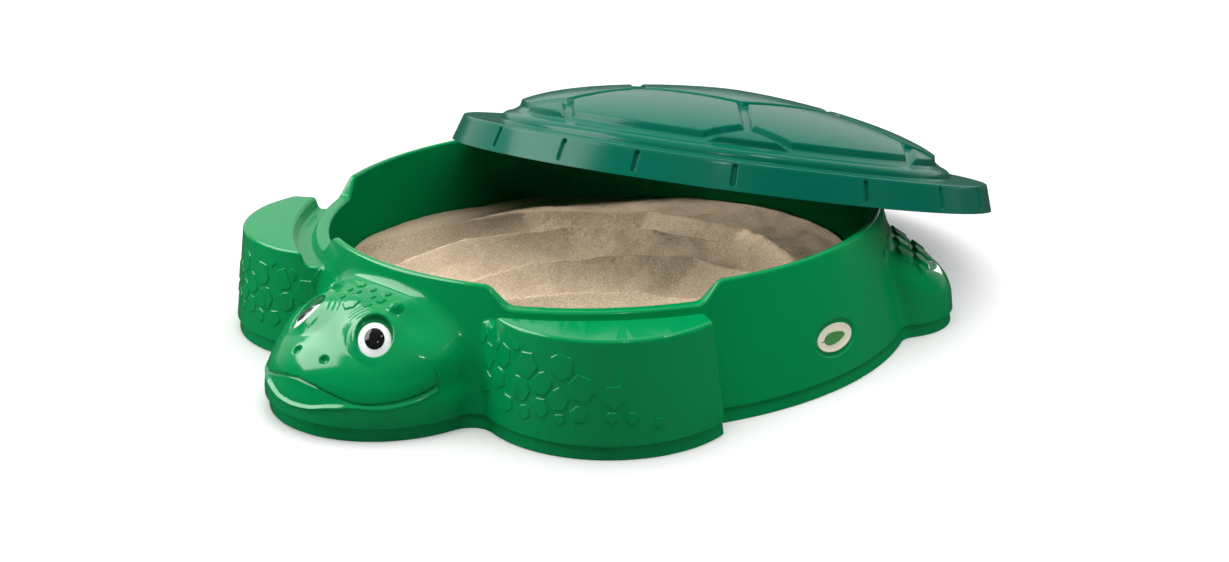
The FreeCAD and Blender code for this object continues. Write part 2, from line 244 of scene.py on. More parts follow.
# ======== tub field
def rim_top(x, y, z):
    """The tub's top: level at the rim, with a lower stretch beside each seat."""
    angle = np.arctan2(y, x)
    middle, half = (NOTCH_FRONT + NOTCH_REAR) / 2.0, (NOTCH_REAR - NOTCH_FRONT) / 2.0
    depth = RIM_HEIGHT - NOTCH_HEIGHT
    beyond = (np.abs(angle - middle) - half) * (RIM_X + RIM_Y) / 2.0 + depth
    rise = soft_ramp(beyond, NOTCH_ROUND) - soft_ramp(beyond - depth, NOTCH_ROUND)
    steep = np.clip(np.minimum(beyond + NOTCH_ROUND, depth + NOTCH_ROUND - beyond)
                    / (2.0 * NOTCH_ROUND), 0.0, 1.0)
    return (z - NOTCH_HEIGHT - rise) / np.sqrt(1.0 + steep ** 2)


def wall(x, y, z):
    grow = (RIM_HEIGHT - z) * WALL_DRAFT
    side = ellipse_distance(x, y, RIM_X + grow, RIM_Y + grow) * cos(atan(WALL_DRAFT))
    return meet(side, rim_top(x, y, z), RIM_ROUND)


def basin(x, y, z):
    shrink = RIM_WIDTH + (RIM_HEIGHT - z) * BASIN_DRAFT
    side = ellipse_distance(x, y, RIM_X - shrink, RIM_Y - shrink)
    return meet(side, BASIN_FLOOR - z, BASIN_CORNER)


def seat(x, y, z):
    """The right seat: a round lobe with a flat rear end and a gutter behind it."""
    centre_x = SEAT_REACH * cos(SEAT_DIRECTION)
    centre_y = SEAT_REACH * sin(SEAT_DIRECTION)
    lean = (SEAT_RADIUS_FOOT - SEAT_RADIUS_TOP) / SEAT_HEIGHT
    lobe = np.hypot(x - centre_x, y - centre_y) - SEAT_RADIUS_FOOT + lean * z
    rear = y * cos(SEAT_REAR_ANGLE) - x * sin(SEAT_REAR_ANGLE) + lean * (z - 0.08)
    body = meet(meet(lobe, rear, SEAT_CORNER), z - SEAT_HEIGHT, SEAT_EDGE)
    grow = (RIM_HEIGHT - GUTTER_FLOOR) * WALL_DRAFT + GUTTER_WIDTH
    inner = ellipse_distance(x, y, RIM_X + grow, RIM_Y + grow) - GUTTER_SLOPE * (z - GUTTER_FLOOR)
    gutter = meet(inner, GUTTER_FLOOR - z, GUTTER_EDGE)
    return meet(body, -gutter, GUTTER_EDGE)


# ---- the right eye: it faces this far outwards and upwards; the left one mirrors it ----
EYE_TURN, EYE_LIFT = radians(47.5), radians(50.0)
EYE_NORMAL = np.array([sin(EYE_TURN) * cos(EYE_LIFT),
                       -cos(EYE_TURN) * cos(EYE_LIFT), sin(EYE_LIFT)])
EYE_UP = np.array([-sin(EYE_TURN) * sin(EYE_LIFT),
                   cos(EYE_TURN) * sin(EYE_LIFT), cos(EYE_LIFT)])
EYE_SIDE = np.cross(EYE_UP, EYE_NORMAL)
EYE_CENTRE = np.array([0.071, -0.554, 0.126])
EYE_EDGE = 0.002
EYE_FLOOR = EYE_CENTRE - EYE_EDGE * EYE_NORMAL
EYE_RADIUS, PUPIL_RADIUS = 0.0231, 0.0135
EYE_STRETCH = 1.23               # the eyes are this much taller than wide


def skull(x, y, z):
    """The right half of the head without its features: a low flat snout below a forehead."""
    lean = curve(z, HEAD_LEAN)
    side = ellipse_distance(x, y - HEAD_CENTRE_Y, HEAD_HALF_WIDTH - lean,
                            HEAD_FRONT + HEAD_CENTRE_Y - lean)
    side = side / HEAD_SLOPE
    top = (z - curve(y, HEAD_TOP) + curve(y, HEAD_CROWN) * x ** 2) * 0.80
    body = meet(side, top, HEAD_EDGE)
    return meet(body, -ellipsoid(np.stack([x, y, z], 1), *NECK_HOLLOW), 0.030)


def head(x, y, z):
    """The right half of the head: skull, brow around the eye, socket sunk in it, and nostril."""
    p = np.stack([x, y, z], 1)
    body = skull(x, y, z)
    from_eye = p - EYE_FLOOR
    height = from_eye @ EYE_NORMAL
    up, side = from_eye @ EYE_UP, from_eye @ EYE_SIDE
    brow_centre = EYE_FLOOR - BROW_BACK * EYE_NORMAL + BROW_UP * EYE_UP
    body = join(body, ellipsoid(p, brow_centre, 3 * (BROW_RADIUS,)), 0.012)
    ring = np.hypot(side, (up - 0.001) / EYE_STRETCH) - RING_RADIUS
    body = join(body, meet(meet(ring, height - RING_RISE, 0.003), -0.030 - height, 0.003), 0.009)
    body = join(body, ellipsoid(p, *BROW_KNOB), 0.005)
    socket = np.hypot(side, (up - SOCKET_UP) / (EYE_STRETCH + 0.05)) - SOCKET_RADIUS
    body = meet(body, -meet(socket, -height, 0.002), 0.0025)
    return meet(body, -ellipsoid(p, *NOSTRIL), 0.0018)


def head_relief(p):
    """Height of the head's fine features: mouth, lip, cheek crease, brow folds and scales."""
    x, y, z = np.abs(p[:, 0]), p[:, 1], p[:, 2]
    around = np.degrees(np.arctan2(x, HEAD_CENTRE_Y - y))
    above = z - curve(around, MOUTH)
    in_mouth = 1.0 - smooth_step(around, MOUTH_CORNER - 1.5, MOUTH_CORNER + 1.5)
    relief = -0.0030 * hump(above, 0.0020) * in_mouth
    # the upper lip hangs over the mouth line, most of all towards the cheeks
    cheek = 0.4 + 0.6 * smooth_step(around, 12.0, 40.0)
    lip_fade = 1.0 - smooth_step(around, MOUTH_CORNER - 14.0, MOUTH_CORNER + 8.0)
    relief += 0.0020 * cheek * lip_fade * hump(above - 0.013, 0.012) * (above > 0.0)
    relief += 0.0020 * cheek * lip_fade * hump(0.013, 0.012) * (above <= 0.0) * hump(above, 0.002)
    # the lower lip is a raised line, with a slack band between it and the mouth line
    over_lip = z - curve(around, LIP)
    thick = 0.0032 - 0.0018 * smooth_step(around, 24.0, 36.0)
    relief += thick * hump(over_lip, 0.0024) * in_mouth
    slack = smooth_step(over_lip, 0.0, 0.004) * (above < 0.0) * (1.0 - smooth_step(around, 22.0, 31.0))
    relief -= 0.0016 * slack
    # the crease at the corner of the mouth
    crease = MOUTH_CORNER + 0.6 - 900.0 * (z - 0.073) ** 2 * 4.0
    beside = np.radians(around - crease) * 0.162
    tall = smooth_step(z, 0.046, 0.056) * (1.0 - smooth_step(z, 0.086, 0.096))
    relief += (0.0010 * hump(beside - 0.0032, 0.0022) - 0.0014 * hump(beside, 0.0018)) * tall
    # folds over the brow
    from_eye = p * np.array([np.sign(p[:, 0]), np.ones(len(p)), np.ones(len(p))]).T - EYE_CENTRE
    far = np.linalg.norm(from_eye, axis=1)
    turn = np.degrees(np.arctan2(-(from_eye @ EYE_SIDE), from_eye @ EYE_UP))
    on_brow = hump(turn - 18.0, 24.0) * smooth_step(z, 0.140, 0.150)
    for fold in FOLDS:
        relief += 0.0010 * hump(far - fold, 0.0018) * on_brow
    # a ridge around the inner side of the socket
    ring = np.hypot(from_eye @ EYE_SIDE, from_eye @ EYE_UP - 0.003)
    inner_side = hump(np.degrees(np.arctan2(from_eye @ EYE_UP, -(from_eye @ EYE_SIDE))), 50.0)
    relief += 0.0010 * hump(ring - 0.0385, 0.0022) * inner_side * (z < 0.165) * (far < 0.05)
    # scales on the forehead, the same on both sides of the middle
    on_top = smooth_step(z, 0.135, 0.145)
    both_sides = FOREHEAD_SCALES + [(-a, b, c, d, -e) for a, b, c, d, e in FOREHEAD_SCALES if a > 0.0]
    return relief + 0.0018 * raised_plates(p[:, 0], y, both_sides, 0.003) * on_top


def seat_relief(p):
    """Height of the scales round the seats' outer faces."""
    x, y, z = np.abs(p[:, 0]), p[:, 1], p[:, 2]
    dx = x - SEAT_REACH * cos(SEAT_DIRECTION)
    dy = y - SEAT_REACH * sin(SEAT_DIRECTION)
    arc = np.arctan2(dy, dx) * SEAT_RADIUS_FOOT
    scales = [(radians(turn) * SEAT_RADIUS_FOOT, *rest) for turn, *rest in SEAT_SCALES]
    on_face = 1.0 - smooth_step(np.abs(seat(x, y, z)), 0.003, 0.006)
    outside = on_face * smooth_step(np.hypot(dx, dy), 0.150, 0.160) * (1.0 - smooth_step(z, 0.140, 0.148))
    return SEAT_SCALE_HEIGHT * raised_plates(arc, z, scales) * outside


def foot_place(x, y):
    """Places along and across the right rear foot, from its middle."""
    along = x * cos(FOOT_DIRECTION) + y * sin(FOOT_DIRECTION) - FOOT_REACH
    across = y * cos(FOOT_DIRECTION) - x * sin(FOOT_DIRECTION)
    return along, across


def rear_foot(x, y, z):
    """The right rear foot: a rounded toe whose top slopes up to the wall."""
    along, across = foot_place(x, y)
    back = 0.06 * z
    toe = ellipse_distance(along + back, across, FOOT_HALF_LENGTH - back, FOOT_HALF_WIDTH - 0.10 * z)
    top = (z - FOOT_TOP + FOOT_SLOPE * along + 2.2 * across ** 2) / hypot(1.0, FOOT_SLOPE)
    return meet(toe, top, FOOT_EDGE)


def foot_relief(p):
    """Height of the scales on the rear feet's sloping tops."""
    along, across = foot_place(np.abs(p[:, 0]), p[:, 1])
    on_top = smooth_step(p[:, 2], 0.070, 0.085) * smooth_step(along, 0.0, 0.01)
    return FOOT_SCALE_HEIGHT * raised_plates(across, along, FOOT_SCALES, 0.006, 0.003) * on_top


def tail(x, y, z):
    """A short blunt tail that ends where the CAD tub ends."""
    half = TAIL_HALF_WIDTH, TAIL_REACH - TAIL_Y, TAIL_HEIGHT
    return ellipsoid(np.stack([x, y, z], 1), (0.0, TAIL_Y, 0.0), half)


BADGE_DRAFT = atan(WALL_DRAFT)
BADGE_MATRIX = np.array(Matrix.Rotation(BADGE_TURN, 3, "Z")
                        @ Matrix.Rotation(pi / 2.0 - BADGE_DRAFT, 3, "Y"))


def badge_place(p):
    """Places in the badge's own axes: up the wall, along it, and out of it."""
    wall_x = RIM_X + (RIM_HEIGHT - BADGE_HEIGHT) * WALL_DRAFT
    origin = np.array([wall_x * cos(BADGE_TURN), wall_x * sin(BADGE_TURN), BADGE_HEIGHT])
    return ((p - origin) @ BADGE_MATRIX).T


def badge_recess(p):
    up, along, out = badge_place(p)
    side = ellipse_distance(up, along, BADGE_HALF_WIDTH + BADGE_MARGIN, BADGE_HALF_LENGTH + BADGE_MARGIN)
    return meet(side, -BADGE_RECESS - out, 0.002)


# which relief applies in which box, as (relief, lowest corner, highest corner)
RELIEFS = [(head_relief, (-0.19, -0.67, 0.03), (0.19, -0.46, 0.19)),
           (seat_relief, (-0.50, -0.52, 0.02), (-0.10, -0.20, 0.17)),
           (seat_relief, (0.10, -0.52, 0.02), (0.50, -0.20, 0.17)),
           (foot_relief, (-0.50, 0.20, 0.05), (-0.25, 0.45, 0.17)),
           (foot_relief, (0.25, 0.20, 0.05), (0.50, 0.45, 0.17))]


def add_reliefs(body, p):
    """Lowers the field by the height of the fine features, in the boxes that hold them."""
    near = np.abs(body) < 0.012
    for relief, low, high in RELIEFS:
        here = near & (p > np.array(low)).all(1) & (p < np.array(high)).all(1)
        if here.any():
            body[here] -= relief(p[here])
    return body


def tub_field(p):
    """The whole moulding: wall, seats, head, rear feet and tail, less the recess and the basin."""
    x, y, z = np.abs(p[:, 0]), p[:, 1], p[:, 2]
    body = wall(x, y, z)
    body = join(body, seat(x, y, z), SEAT_BLEND)
    body = join(body, head(x, y, z), HEAD_BLEND)
    body = join(body, rear_foot(x, y, z), FOOT_BLEND)
    body = join(body, tail(x, y, z), TAIL_BLEND)
    body = add_reliefs(body, p)
    body = meet(body, -badge_recess(p), 0.002)
    body = body + PLINTH_INSET * smooth_step(PLINTH_HEIGHT - z, -PLINTH_STEP, PLINTH_STEP)
    body = meet(body, -z, 0.0015)
    return meet(body, -basin(x, y, z), RIM_ROUND)


# ======== meshing
MOST_FACES = 190000


def slope_of(field, p, reach=0.0002):
    """The field's gradient by central differences."""
    slope = np.empty_like(p)
    for axis in range(3):
        step = np.zeros(3)
        step[axis] = reach
        slope[:, axis] = (field(p + step) - field(p - step)) / (2.0 * reach)
    return slope


def settle(field, p, rounds=3, farthest=0.004):
    """Moves points straight onto the field's zero surface."""
    for _ in range(rounds):
        slope = slope_of(field, p)
        size = np.maximum((slope ** 2).sum(1), 0.05)
        step = np.clip(field(p) / np.sqrt(size), -farthest, farthest)
        p = p - slope * (step / np.sqrt(size))[:, None]
    return p


def coarse_mesh(field, low, high, step):
    """Triangles around the field's zero surface, from a regular grid."""
    axes = [np.arange(a, b + step, step) for a, b in zip(low, high)]
    grid = np.stack(np.meshgrid(*axes, indexing="ij"), -1).reshape(-1, 3)
    values = field(grid).reshape([len(a) for a in axes]).astype(np.float32)
    volume = openvdb.FloatGrid()
    volume.copyFromArray(values)
    points, quads = volume.convertToQuads(0.0)
    points = np.array(low) + points.astype(float) * step
    quads = quads.astype(np.int64)
    return points, np.concatenate([quads[:, [0, 1, 2]], quads[:, [0, 2, 3]]])


def edge_table(faces):
    """Each edge once, as a pair of points, and the three edges of every face."""
    pairs = np.sort(np.concatenate([faces[:, [0, 1]], faces[:, [1, 2]], faces[:, [2, 0]]]), 1)
    edges, which = np.unique(pairs, axis=0, return_inverse=True)
    return edges, which.reshape(3, -1).T


def split_faces(faces, of_face, middle):
    """Cuts every face at the middles of its split edges; middle is -1 where an edge stays."""
    cut = middle[of_face]
    count = (cut >= 0).sum(1)
    done = [faces[count == 0]]
    one = count == 1
    for k in range(3):
        pick = one & (cut[:, k] >= 0)
        a, b, c = (faces[pick][:, (k + i) % 3] for i in range(3))
        m = cut[pick][:, k]
        done += [np.stack([a, m, c], 1), np.stack([m, b, c], 1)]
    two = count == 2
    for k in range(3):
        pick = two & (cut[:, (k + 2) % 3] < 0)
        a, b, c = (faces[pick][:, (k + i) % 3] for i in range(3))
        m, n = cut[pick][:, k], cut[pick][:, (k + 1) % 3]
        done += [np.stack([m, b, n], 1), np.stack([a, m, n], 1), np.stack([a, n, c], 1)]
    pick = count == 3
    a, b, c = faces[pick].T
    m, n, o = cut[pick].T
    done += [np.stack(t, 1) for t in ((a, m, o), (m, b, n), (o, n, c), (m, n, o))]
    return np.concatenate(done)


def refine(places, faces, position, tolerance, shortest, rounds):
    """Splits edges whose middle lies off the surface, until the mesh follows it closely.

    position(places) returns the settled places and their points in space.
    """
    places, points = position(places)
    for _ in range(rounds):
        edges, of_face = edge_table(faces)
        ends = points[edges[:, 0]], points[edges[:, 1]]
        length = np.linalg.norm(ends[0] - ends[1], axis=1)
        new_places, new_points = position((places[edges[:, 0]] + places[edges[:, 1]]) / 2.0)
        off = np.linalg.norm(new_points - (ends[0] + ends[1]) / 2.0, axis=1)
        split = (off > tolerance) & (length > shortest)
        longest = of_face[np.arange(len(faces)), length[of_face].argmax(1)]
        touched = split[of_face].any(1) & (length[longest] > 1.5 * shortest)
        split[longest[touched]] = True
        middle = np.full(len(edges), -1)
        middle[split] = len(points) + np.arange(split.sum())
        places = np.concatenate([places, new_places[split]])
        points = np.concatenate([points, new_points[split]])
        faces = split_faces(faces, of_face, middle)
    return places, points, faces


def thin_out(points, faces, most):
    """Fewer faces where the surface is flat, down to a limit."""
    if len(faces) <= most:
        return points, faces
    thing = mesh_object("thin_out", points, faces)
    modifier = thing.modifiers.new("thin_out", "DECIMATE")
    modifier.ratio = most / len(faces)
    mesh = thing.evaluated_get(bpy.context.evaluated_depsgraph_get()).to_mesh()
    points = np.empty(3 * len(mesh.vertices))
    mesh.vertices.foreach_get("co", points)
    faces = np.empty(3 * len(mesh.polygons), dtype=np.int32)
    mesh.loops.foreach_get("vertex_index", faces)
    bpy.data.objects.remove(thing)
    return points.reshape(-1, 3), faces.reshape(-1, 3).astype(np.int64)


def add_object(name, data):
    thing = bpy.data.objects.new(name, data)
    bpy.context.scene.collection.objects.link(thing)
    return thing


def mesh_object(name, points, faces, normals=None):
    """A smooth-shaded mesh object from arrays."""
    mesh = bpy.data.meshes.new(name)
    mesh.vertices.add(len(points))
    mesh.vertices.foreach_set("co", points.astype(np.float32).ravel())
    size = faces.shape[1]
    mesh.loops.add(faces.size)
    mesh.loops.foreach_set("vertex_index", faces.astype(np.int32).ravel())
    mesh.polygons.add(len(faces))
    mesh.polygons.foreach_set("loop_start", np.arange(0, faces.size, size, dtype=np.int32))
    mesh.update(calc_edges=True)
    mesh.validate()
    mesh.shade_smooth()
    if normals is not None:
        mesh.normals_split_custom_set_from_vertices(normals.tolist())
    return add_object(name, mesh)


def field_object(name, field, low, high, step, tolerance, shortest, rounds):
    """The mesh of a field: coarse, then denser where it bends, thinned, settled and shaded."""
    points, faces = coarse_mesh(field, low, high, step)

    def position(places):
        settled = settle(field, places)
        return settled, settled

    _, points, faces = refine(points, faces, position, tolerance, shortest, rounds)
    points, faces = thin_out(points, faces, MOST_FACES)
    points = settle(field, points, rounds=2)
    normals = slope_of(field, points)
    normals /= np.maximum(np.linalg.norm(normals, axis=1), 1e-9)[:, None]
    corner = points[faces]
    facing = np.cross(corner[:, 1] - corner[:, 0], corner[:, 2] - corner[:, 0])
    if (facing * normals[faces[:, 0]]).sum() < 0.0:
        faces = faces[:, ::-1]
    return mesh_object(name, points, faces, normals)


def register(piece, body, look, node=None):
    """Gives a piece its body and look, and hides the CAD node that it stands for."""
    if node:
        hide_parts(node)
    piece.data.materials.append(look)
    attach(piece, body)
    return piece


# ======== cover
GROOVE_DEPTH = 0.0085
PLATE_GAP = 0.0060
PLATE_BEVEL = 0.0060
MEAN_RADIUS = (COVER_X + COVER_Y) / 2.0
HEXAGON = 0.355                  # inner plate: centre to side, as a share of the cover
PLATE_OUTER = 0.790              # outer end of the six large plates
# two points of the edge that cuts the small wedge plates off, as shares of the cover
WEDGE_TIP, WEDGE_FOOT = (share * np.array([cos(radians(turn)), sin(radians(turn))])
                         for share, turn in ((0.700, 30.0), (0.835, 15.5)))
SLOT_ANGLES = [8.0, 27.0, 53.5, 74.0, 92.0, 110.0, 129.0, 152.0, 172.0]  # from the front, each side
SLOT_HALF_WIDTH, SLOT_DEPTH, SLOT_BEVEL = 0.0036, 0.0050, 0.0012
SLOT_LOW, SLOT_HIGH = 0.010, 0.035
SECTION_STEP, SECTION_REACH = 0.0005, 8  # sampling, and samples to each side that a bend is spread over


def cover_section():
    """The cover's section as (share of the plan, height), resampled and with rounded bends."""
    turn = np.linspace(0.0, pi / 2.0, 200)[:-1]
    share = np.sin(turn)
    height = SKIRT_HEIGHT + DOME_HEIGHT * np.sqrt(1.0 - share ** DOME_POWER)
    share = np.concatenate([share * DOME_SCALE, [DOME_SCALE, FOLD_SCALE, 1.0]])
    height = np.concatenate([height, [SKIRT_HEIGHT, SKIRT_HEIGHT, 0.0]])
    radius = share * MEAN_RADIUS
    length = np.concatenate([[0.0], np.cumsum(np.hypot(np.diff(radius), np.diff(height)))])
    spacing, reach = SECTION_STEP, SECTION_REACH
    samples = np.arange(-reach, int(length[-1] / spacing) + 1)
    at = np.abs(samples) * spacing
    radius, height = np.interp(at, length, radius), np.interp(at, length, height)
    radius = radius * np.sign(samples)
    window = np.hanning(2 * reach + 3)[1:-1]
    window /= window.sum()
    radius = np.convolve(radius, window, "valid")
    height = np.convolve(height, window, "valid")
    missing = length[-1] - at[-1] + reach * spacing
    last = np.array([radius[-1] - radius[-2], height[-1] - height[-2]]) / spacing
    radius = np.append(radius, radius[-1] + last[0] * missing)
    height = np.append(height, height[-1] + last[1] * missing)
    length = np.concatenate([[0.0], np.cumsum(np.hypot(np.diff(radius), np.diff(height)))])
    return length / length[-1], radius / MEAN_RADIUS, height


SECTION_AT, SECTION_SHARE, SECTION_HEIGHT = cover_section()


def plate_mask(share, angle):
    """1 on the raised shell plates, 0 in the grooves between them."""
    sector = radians(60.0)
    from_front = angle + pi / 2.0
    folded = np.abs((from_front + sector / 2.0) % sector - sector / 2.0)
    along, across = share * np.cos(folded), share * np.sin(folded)
    side = share * np.sin(sector / 2.0 - folded)
    direction = WEDGE_FOOT - WEDGE_TIP
    direction = direction / np.linalg.norm(direction)
    beyond = (along - WEDGE_TIP[0]) * -direction[1] + (across - WEDGE_TIP[1]) * direction[0]
    plates = [HEXAGON - along,
              np.minimum(np.minimum(along - HEXAGON, side), np.minimum(-beyond, PLATE_OUTER - share)),
              np.minimum(beyond, PLATE_OUTER + 0.015 - share)]
    inside = np.max(plates, axis=0) * MEAN_RADIUS
    return smooth_step(inside, PLATE_GAP - PLATE_BEVEL / 2.0, PLATE_GAP + PLATE_BEVEL)


def slot_mask(angle, height):
    """1 in the upright slots pressed into the skirt."""
    from_front = np.degrees(np.abs((angle + pi / 2.0 + pi) % (2.0 * pi) - pi))
    off = np.min([np.abs(from_front - slot) for slot in SLOT_ANGLES], axis=0)
    off = np.radians(off) * MEAN_RADIUS
    beyond = np.maximum(np.maximum(SLOT_LOW - height, height - SLOT_HIGH), 0.0)
    return 1.0 - smooth_step(np.hypot(off, beyond) - SLOT_HALF_WIDTH, -SLOT_BEVEL, SLOT_BEVEL)


COVER_MATRIX = np.array(Matrix.Rotation(-COVER_ROLL, 3, "Y") @ Matrix.Rotation(-COVER_PITCH, 3, "X")
                        @ Matrix.Rotation(COVER_TURN, 3, "Z"))


def cover_points(places):
    """Points of the cover's upper side for places on a disc of radius 1."""
    at = np.hypot(places[:, 0], places[:, 1])
    angle = np.arctan2(places[:, 1], places[:, 0])
    share = np.interp(at, SECTION_AT, SECTION_SHARE)
    height = np.interp(at, SECTION_AT, SECTION_HEIGHT)
    step = 0.004
    run, climb = (np.interp(at + step, SECTION_AT, course) - np.interp(at - step, SECTION_AT, course)
                  for course in (SECTION_SHARE, SECTION_HEIGHT))
    run = run * MEAN_RADIUS
    size = np.maximum(np.hypot(run, climb), 1e-9)
    on_dome = 1.0 - smooth_step(share, PLATE_OUTER + 0.01, DOME_SCALE + 0.004)
    push = GROOVE_DEPTH * (plate_mask(share, angle) - 1.0) * on_dome
    push = push - SLOT_DEPTH * slot_mask(angle, height) * (share > FOLD_SCALE - 0.01)
    out = share + push * (-climb / size) / MEAN_RADIUS
    points = np.stack([COVER_X * out * np.cos(angle), COVER_Y * out * np.sin(angle),
                       height + push * run / size], 1)
    return points @ COVER_MATRIX.T + np.array(COVER_CENTRE)


def cover_normals(places):
    """Outward directions of the cover's upper side, by central differences on the disc."""
    slope = [cover_points(places + step) - cover_points(places - step) for step in 0.0012 * np.eye(2)]
    normals = np.cross(slope[0], slope[1])
    return normals / np.maximum(np.linalg.norm(normals, axis=1), 1e-12)[:, None]


def disc(rings, around):
    """Triangles over a disc of radius 1, as rings of points around its middle."""
    places = [np.zeros((1, 2))]
    turn = np.arange(around) * 2.0 * pi / around
    circle = np.stack([np.cos(turn), np.sin(turn)], 1)
    for ring in range(1, rings + 1):
        places.append(circle * ring / rings)
    here = np.arange(around)
    after = (here + 1) % around
    faces = [np.stack([np.zeros(around, int), 1 + here, 1 + after], 1)]
    for ring in range(rings - 1):
        inner, outer = 1 + ring * around, 1 + (ring + 1) * around
        faces.append(np.stack([inner + here, outer + here, outer + after], 1))
        faces.append(np.stack([inner + here, outer + after, inner + after], 1))
    return np.concatenate(places), np.concatenate(faces)


def make_cover():
    """A thin sheet: the shaped upper side, the same shape a sheet's thickness below, and the edge."""
    places, faces = disc(54, 240)

    def position(where):
        return where, cover_points(where)

    places, points, faces = refine(places, faces, position, COVER_TOLERANCE, 0.0018, COVER_ROUNDS)
    normals = cover_normals(places)
    edges, of_face = edge_table(faces)
    uses = np.bincount(of_face.ravel(), minlength=len(edges))
    rim = edges[uses == 1]
    turn = np.arctan2(places[rim][:, :, 1], places[rim][:, :, 0])
    backwards = np.sin(turn[:, 1] - turn[:, 0]) < 0.0
    rim[backwards] = rim[backwards][:, ::-1]
    count = len(points)
    strip = np.concatenate([np.stack([rim[:, 0], rim[:, 1] + count, rim[:, 1]], 1),
                            np.stack([rim[:, 0], rim[:, 0] + count, rim[:, 1] + count], 1)])
    under = points - normals * COVER_SHEET
    cover = mesh_object("shell_cover", np.concatenate([points, under]),
                        np.concatenate([faces, faces[:, ::-1] + count, strip]),
                        np.concatenate([normals, -normals]))
    return register(cover, COVER, COVER_PLASTIC, "cover")


# ======== sand
SAND_LOW, SAND_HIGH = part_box("sand_fill")
SAND_X, SAND_Y = SAND_HIGH.x, SAND_HIGH.y


def ridge(x, y, points, height, front, back):
    """A dune along a line of plan points: steep on one side, long on the other."""
    best = np.full(len(x), 9.0)
    side = np.zeros(len(x))
    here = np.stack([x, y], 1)
    for a, b in zip(points, points[1:]):
        a, b = np.array(a), np.array(b)
        gap = segment_distance(here, a, b)
        along = b - a
        turn = along[0] * (y - a[1]) - along[1] * (x - a[0])
        nearer = gap < best
        best = np.where(nearer, gap, best)
        side = np.where(nearer, np.sign(turn), side)
    reach = np.where(side > 0.0, front, back)
    crest = np.sqrt(best ** 2 + 0.002 ** 2) / reach
    return height * np.exp(-crest)


def hash_noise(x, y, scale, seed):
    """Smooth value noise between -1 and 1, the same on every run."""
    values = np.random.default_rng(seed).uniform(-1.0, 1.0, (64, 64))
    u, v = x / scale + 32.0, y / scale + 32.0
    i, j = np.floor(u).astype(int), np.floor(v).astype(int)
    fu, fv = smooth_step(u - i, 0.0, 1.0), smooth_step(v - j, 0.0, 1.0)

    def corner(di, dj):
        return values[(i + di) % 64, (j + dj) % 64]
    low = corner(0, 0) * (1 - fu) + corner(1, 0) * fu
    high = corner(0, 1) * (1 - fu) + corner(1, 1) * fu
    return low * (1 - fv) + high * fv


# dunes: plan points of the crest, height, reach on its left, reach on its right
DUNES = [
    (((-0.32, -0.16), (-0.24, 0.06), (-0.08, 0.20), (0.10, 0.24), (0.26, 0.16), (0.34, 0.02)),
     0.036, 0.16, 0.05),
    (((-0.20, -0.30), (-0.20, -0.12), (-0.12, 0.04), (0.00, 0.12)), 0.036, 0.030, 0.11),
    (((-0.04, -0.34), (-0.02, -0.18), (0.06, -0.04), (0.16, 0.04), (0.27, 0.04)), 0.040, 0.030, 0.12),
    (((0.06, -0.32), (0.12, -0.22), (0.20, -0.14), (0.30, -0.10)), 0.038, 0.028, 0.09),
    (((0.20, -0.27), (0.23, -0.20), (0.30, -0.16)), 0.022, 0.025, 0.05),
]


SAND_AROUND = 300                # points around each ring of the sand's surface


def sand_height(x, y):
    """Height of the sand: a low heap with the dunes and three sizes of unevenness on it."""
    away = np.sqrt((x / SAND_X) ** 2 + (y / SAND_Y) ** 2)
    level = SAND_LOW.z + 0.034 + 0.012 * (1.0 - away ** 2)
    for points, height, front, back in DUNES:
        level = level + ridge(x, y, points, height, front, back)
    level = level + 0.004 * hash_noise(x, y, 0.12, 3) + 0.0012 * hash_noise(x, y, 0.03, 5)
    return level + 0.0004 * hash_noise(x, y, 0.008, 7)


def make_sand():
    """Loose sand heaped in the basin, with soft dunes; it fills the basin to its wall."""
    places, faces = disc(100, SAND_AROUND)
    shrink = RIM_WIDTH + (RIM_HEIGHT - 0.06) * BASIN_DRAFT + 0.0012
    x, y = places[:, 0] * (RIM_X - shrink), places[:, 1] * (RIM_Y - shrink)
    top = np.stack([x, y, sand_height(x, y)], 1)
    count = len(top)
    ring = np.arange(count - SAND_AROUND, count)
    after = np.roll(ring, -1)
    foot = top[ring] * np.array([0.975, 0.975, 0.0]) + np.array([0.0, 0.0, SAND_LOW.z + 0.001])
    points = np.concatenate([top, foot, [[0.0, 0.0, SAND_LOW.z + 0.001]]])
    low = ring + SAND_AROUND
    low_after = np.roll(low, -1)
    wall_faces = [np.stack([ring, low, low_after], 1), np.stack([ring, low_after, after], 1)]
    floor = np.stack([low_after, low, np.full(SAND_AROUND, len(points) - 1)], 1)
    sand = mesh_object("play_sand", points, np.concatenate([faces] + wall_faces + [floor]))
    return register(sand, TUB, SAND, "sand_fill")


# ======== eyes and badge
def lathe(name, outline, origin, axes, around=96):
    """A turned part, stretched along its second axis: outline is (radius, height) pairs."""
    turn = Matrix(axes).transposed()
    points, faces = [], []
    for radius, height in outline:
        for step in range(around):
            angle = 2.0 * pi * step / around
            point = turn @ Vector((radius * cos(angle), radius * sin(angle) * EYE_STRETCH, height))
            points.append(point + Vector(origin))
    for row in range(len(outline) - 1):
        for step in range(around):
            after = (step + 1) % around
            a, b = row * around, (row + 1) * around
            faces.append((a + step, b + step, b + after, a + after))
    last = (len(outline) - 1) * around
    faces.append(tuple(range(around)))
    faces.append(tuple(last + step for step in reversed(range(around))))
    mesh = bpy.data.meshes.new(name)
    mesh.from_pydata(points, [], faces)
    mesh.update()
    mesh.shade_smooth()
    return add_object(name, mesh)


